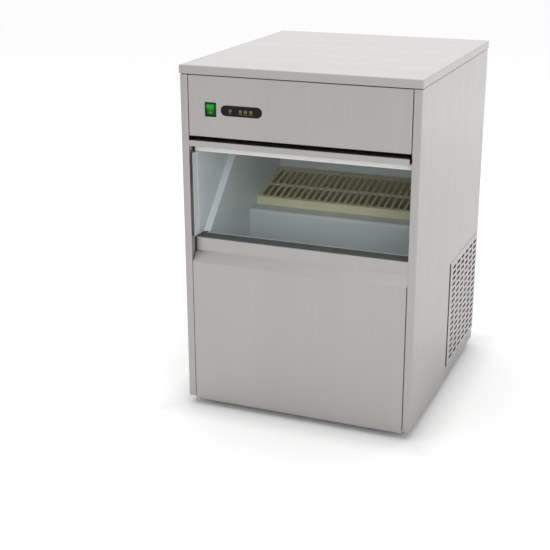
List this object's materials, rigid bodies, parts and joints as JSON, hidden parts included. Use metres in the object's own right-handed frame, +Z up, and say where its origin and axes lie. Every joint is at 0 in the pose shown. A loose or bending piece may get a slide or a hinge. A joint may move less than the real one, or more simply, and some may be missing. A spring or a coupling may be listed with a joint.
{
  "type": "under-counter ice cube machine",
  "caption": "Under-counter ice cube machine: steel cabinet, lined ice bin under a slotted grate, and a door that slides back open.",
  "frame": {"origin": "on the floor, under the middle of the machine's box", "axes": "+Z up, +X to the machine's right as seen from the front, the front faces -Y"},
  "size_m": [0.501, 0.585, 0.738],
  "materials": {
    "steel": "brushed",
    "galvanized": "dull spangled zinc coat",
    "liner_plastic": "smooth moulded",
    "grate_plastic": "moulded",
    "black_plastic": "moulded",
    "window_plastic": "smooth",
    "green_plastic": "smooth, lit from inside",
    "white_plastic": "moulded",
    "rubber": "moulded",
    "foam": "rigid foam",
    "copper": "drawn tube",
    "tinned_copper": "tinned",
    "aluminium": "mill finish",
    "black_enamel": "baked enamel",
    "circuit_board": "lacquered board",
    "brass": "machined"
  },
  "bodies": {
    "cabinet": {"left_side_panel": "steel", "right_side_panel": "steel", "vent_panel": "steel", "rear_panel": "steel", "rear_cover": "steel", "top_lid": "steel", "control_panel": "steel", "lower_front_panel": "steel", "base_pan": "galvanized", "front_top_rail": "galvanized", "rear_top_rail": "galvanized", "upper_deck": "galvanized", "fan_shroud": "galvanized", "fan_bracket": "galvanized", "liner": "liner_plastic", "water_tank": "liner_plastic", "ice_grate": "grate_plastic", "switch_bezel": "black_plastic", "compressor_terminal_cover": "black_plastic", "cable_gland": "black_plastic", "electrical_box": "black_plastic", "tank_drain_hose": "black_plastic", "water_pump": "black_plastic", "indicator_window": "window_plastic", "spray_bar": "white_plastic", "overflow_pipe": "white_plastic", "drain_outlet": "white_plastic", "bin_drain_hose": "white_plastic", "water_inlet_valve": "white_plastic", "fill_tube": "white_plastic", "foot_front_left": "rubber", "foot_front_right": "rubber", "foot_rear_left": "rubber", "foot_rear_right": "rubber", "sill_strip": "rubber", "foam_insulation": "foam", "evaporator_coil": "copper", "condenser_tube": "copper", "liquid_tube": "copper", "suction_tube": "copper", "discharge_tube": "copper", "hot_gas_tube": "copper", "filter_drier": "copper", "thermostat_bulb": "copper", "evaporator": "tinned_copper", "door_track_left": "aluminium", "door_track_right": "aluminium", "condenser": "aluminium", "compressor": "black_enamel", "fan_motor": "black_enamel", "indicator_board": "circuit_board", "main_board": "circuit_board", "hot_gas_valve": "brass"},
    "door_rollers": {"door_roller_left": "white_plastic", "door_roller_right": "white_plastic"},
    "door": {"door_skin": "steel", "door_plug": "white_plastic"},
    "power_rocker": {"power_rocker": "green_plastic"},
    "fan": {"fan_blades": "aluminium"}
  },
  "joints": [
    {"name": "door_slide", "type": "slide", "parent": "cabinet", "child": "door_rollers", "axis": [0, 1, 0], "range_m": [-0.182, 0]},
    {"name": "door_turn", "type": "hinge", "parent": "door_rollers", "child": "door", "pos_m": [0, -0.083, 0.5655], "axis": [1, 0, 0], "range_deg": [0, 90]},
    {"name": "rocker_turn", "type": "hinge", "parent": "cabinet", "child": "power_rocker", "pos_m": [-0.18275, -0.284, 0.65225], "axis": [1, 0, 0], "range_deg": [-20, 0]},
    {"name": "fan_spin", "type": "hinge", "parent": "cabinet", "child": "fan", "pos_m": [0.1537, 0.12625, 0.12435], "axis": [1, 0, 0], "continuous": true}
  ],
  "couplings": [
    {"joint": "door_turn", "follows": "door_slide", "rad_per_m": -8.6307}
  ]
}
